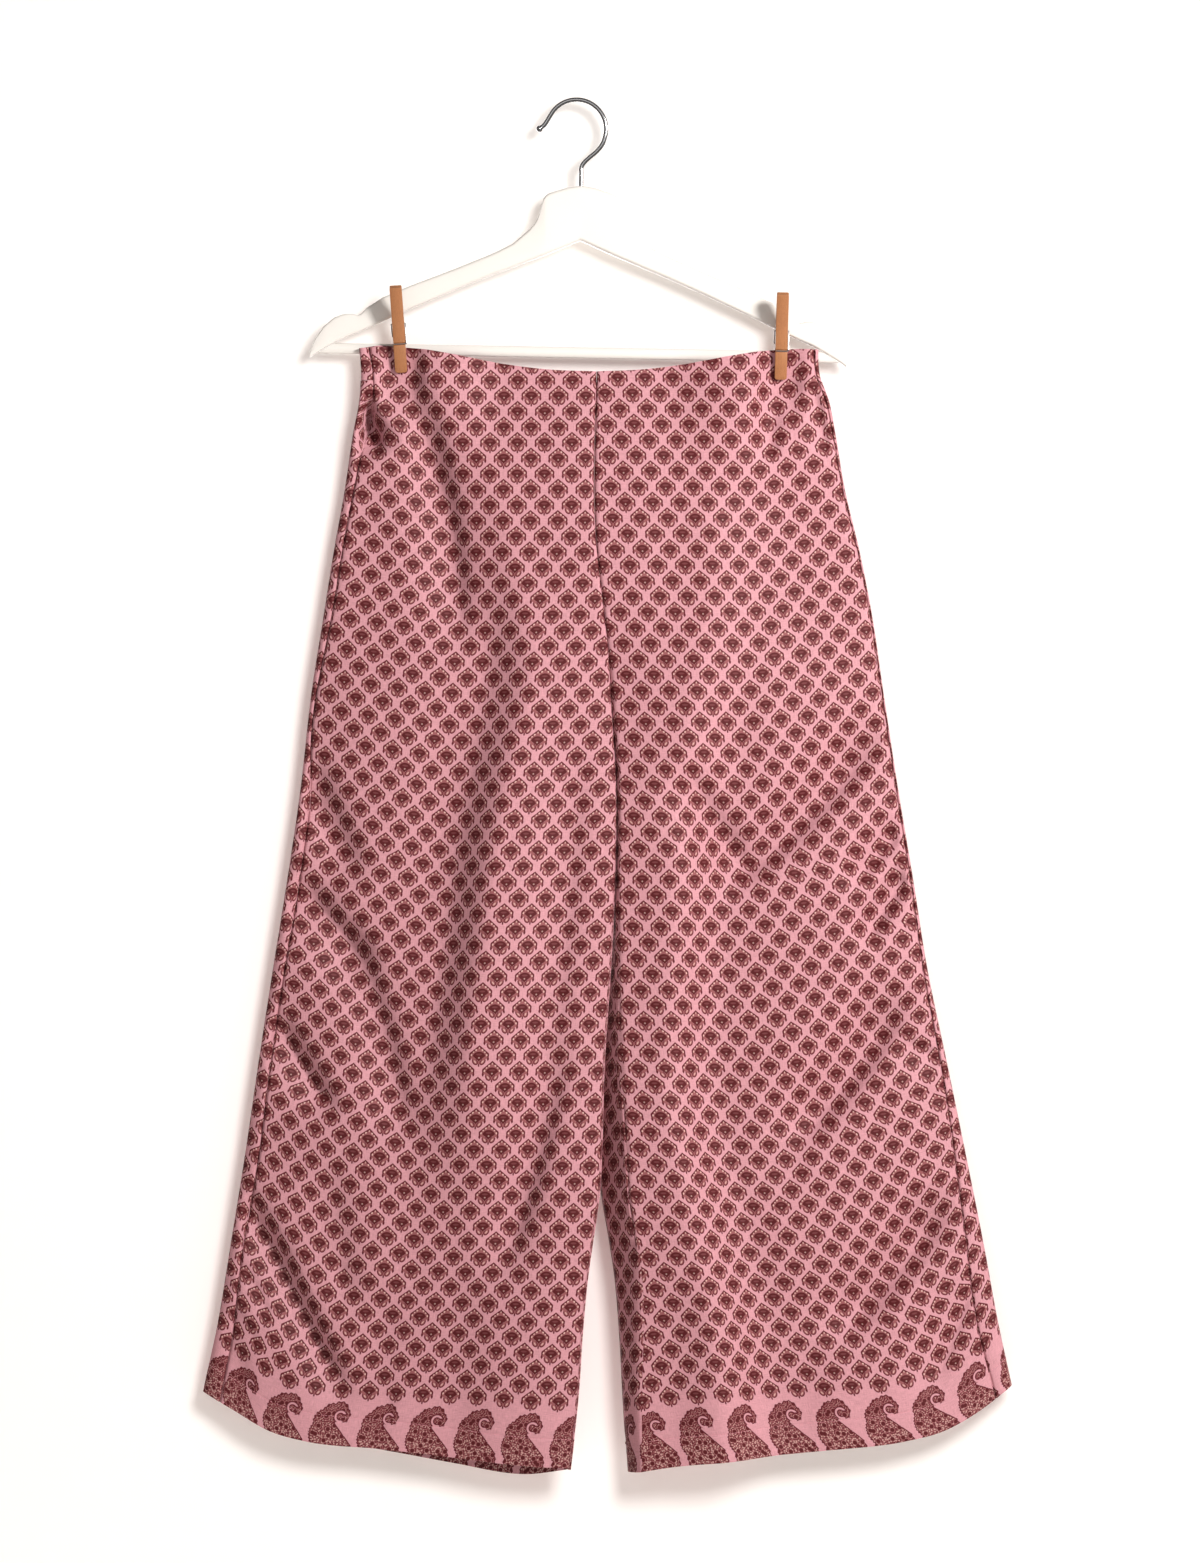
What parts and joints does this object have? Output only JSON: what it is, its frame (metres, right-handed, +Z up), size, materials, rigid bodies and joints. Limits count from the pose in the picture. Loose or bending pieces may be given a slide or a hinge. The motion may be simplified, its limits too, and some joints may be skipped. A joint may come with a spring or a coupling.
{
  "type": "palazzo pants on clothes hanger",
  "caption": "Wide-legged cropped palazzo pants in printed satin, gripped at the waist by wooden pegs on the bar of a white wooden hanger with a wire hook.",
  "frame": {"origin": "inside top of the hook, where a rail carries the hanger", "axes": "+Z up, the front of the pants faces -Y, +X to the viewer's right"},
  "size_m": [0.6713, 0.0683, 1.1435],
  "materials": {
    "satin_print": "pink satin with a small printed repeat and a paisley hem border",
    "white_lacquer": "white lacquered wood",
    "beech_wood": "plain unfinished wood",
    "chrome": "polished wire",
    "spring_steel": "bare spring wire"
  },
  "bodies": {
    "root": {"front_left": "satin_print", "front_right": "satin_print", "back_left": "satin_print", "back_right": "satin_print", "back_waist_casing": "satin_print", "hanger_body": "white_lacquer", "hanger_bar": "white_lacquer", "hanger_hook": "chrome", "peg_left_front": "beech_wood", "peg_left_back": "beech_wood", "peg_left_spring": "spring_steel", "peg_right_front": "beech_wood", "peg_right_back": "beech_wood", "peg_right_spring": "spring_steel"}
  },
  "joints": []
}
